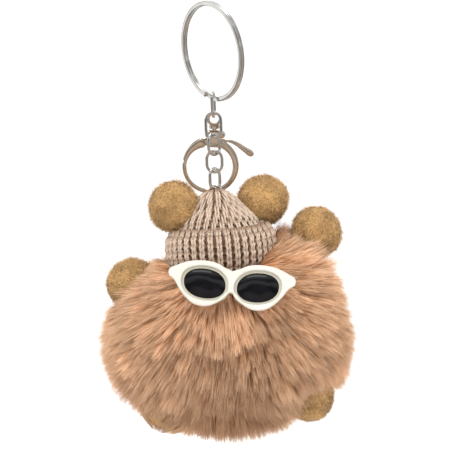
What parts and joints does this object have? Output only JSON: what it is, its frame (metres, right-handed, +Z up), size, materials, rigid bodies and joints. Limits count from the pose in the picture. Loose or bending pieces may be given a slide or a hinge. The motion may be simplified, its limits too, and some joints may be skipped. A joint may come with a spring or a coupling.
{
  "type": "plush keychain",
  "caption": "Fluffy round plush charm with a knit hat, felt balls and sunglasses, hung by a short chain from a split key ring with a lobster clasp.",
  "frame": {"origin": "inner top of the key ring, the point that hangs on a hook", "axes": "+Z up along the hanging charm, the sunglasses face -Y, +X to the right seen from the front"},
  "size_m": [0.0769, 0.0706, 0.1369],
  "materials": {
    "nickel": "polished",
    "clasp_nickel": "polished",
    "thread": "matte",
    "black_lens": "gloss",
    "ivory_plastic": "satin",
    "clear_glue": "satin",
    "mustard_felt": "matte",
    "oatmeal_knit": "matte",
    "polyester_fill": "matte",
    "backing_fabric": "matte",
    "brown_faux_fur": "matte",
    "anchor_plastic": "matte"
  },
  "bodies": {
    "key_ring": {"key_ring": "nickel"},
    "ring_link": {"ring_link": "nickel"},
    "chain_link_1": {"chain_link_1": "nickel"},
    "chain_link_2": {"chain_link_2": "nickel"},
    "chain_link_3": {"chain_link_3": "nickel"},
    "chain_link_4": {"chain_link_4": "nickel"},
    "clasp_eye": {"clasp_swivel_eye": "clasp_nickel"},
    "clasp_body": {"clasp_body": "clasp_nickel", "clasp_pin": "clasp_nickel", "clasp_spring": "clasp_nickel"},
    "clasp_gate": {"clasp_gate": "clasp_nickel"},
    "plush": {"anchor_ring": "nickel", "left_ear": "mustard_felt", "right_ear": "mustard_felt", "left_hand": "mustard_felt", "right_hand": "mustard_felt", "left_foot": "mustard_felt", "right_foot": "mustard_felt", "sunglasses_frame": "ivory_plastic", "left_lens": "black_lens", "right_lens": "black_lens", "glue_pads": "clear_glue", "fur_pile": "brown_faux_fur", "fur_backing": "backing_fabric", "stuffing_core": "polyester_fill", "gather_thread": "thread", "hat_crown": "oatmeal_knit", "hat_cuff": "oatmeal_knit", "hat_stuffing": "polyester_fill", "hanging_cord": "thread", "cord_anchor_disc": "anchor_plastic", "left_hand_stitch": "thread", "right_hand_stitch": "thread", "left_foot_stitch": "thread", "right_foot_stitch": "thread", "left_ear_stitch": "thread", "right_ear_stitch": "thread"}
  },
  "joints": [
    {"name": "ring_link_swing", "type": "hinge", "parent": "key_ring", "child": "ring_link", "pos_m": [0.00067, 0.00543, -0.02881], "axis": [0.576, -0.7727, -0.2668], "range_deg": [-20, 20]},
    {"name": "chain_1_swing", "type": "hinge", "parent": "ring_link", "child": "chain_link_1", "pos_m": [0.00026, 0.00469, -0.03463], "axis": [0.1735, 0.9848, -0.0082], "range_deg": [-10, 10]},
    {"name": "chain_2_swing", "type": "hinge", "parent": "chain_link_1", "child": "chain_link_2", "pos_m": [-0.00005, 0.00411, -0.04127], "axis": [0.9965, -0.0698, -0.047], "range_deg": [-25, 0]},
    {"name": "chain_3_swing", "type": "hinge", "parent": "chain_link_2", "child": "chain_link_3", "pos_m": [-0.00031, 0.00411, -0.04675], "axis": [0.7185, 0.6947, -0.0339], "range_deg": [-8, 8]},
    {"name": "chain_4_swing", "type": "hinge", "parent": "chain_link_3", "child": "chain_link_4", "pos_m": [-0.00057, 0.00411, -0.05222], "axis": [0.9965, -0.0698, -0.047], "range_deg": [-25, 0]},
    {"name": "plush_swing", "type": "hinge", "parent": "chain_link_4", "child": "plush", "pos_m": [-0.00083, 0.00411, -0.0577], "axis": [0.6421, 0.766, -0.0303], "range_deg": [-8, 8]},
    {"name": "clasp_swing", "type": "hinge", "parent": "ring_link", "child": "clasp_eye", "pos_m": [0.00052, 0.00617, -0.03464], "axis": [0.1735, 0.9848, -0.0082], "range_deg": [-10, 8]},
    {"name": "clasp_swivel", "type": "hinge", "parent": "clasp_eye", "child": "clasp_body", "pos_m": [0.00052, 0.00617, -0.03464], "axis": [0.0455, -0.2588, 0.9649], "range_deg": [-15, 15]},
    {"name": "gate_open", "type": "hinge", "parent": "clasp_body", "child": "clasp_gate", "pos_m": [0.00095, 0.00827, -0.04249], "axis": [-0.0122, -0.9659, -0.2585], "range_deg": [0, 20], "stiffness_Nm_per_rad": 0.004, "springref_deg": -11.46}
  ]
}
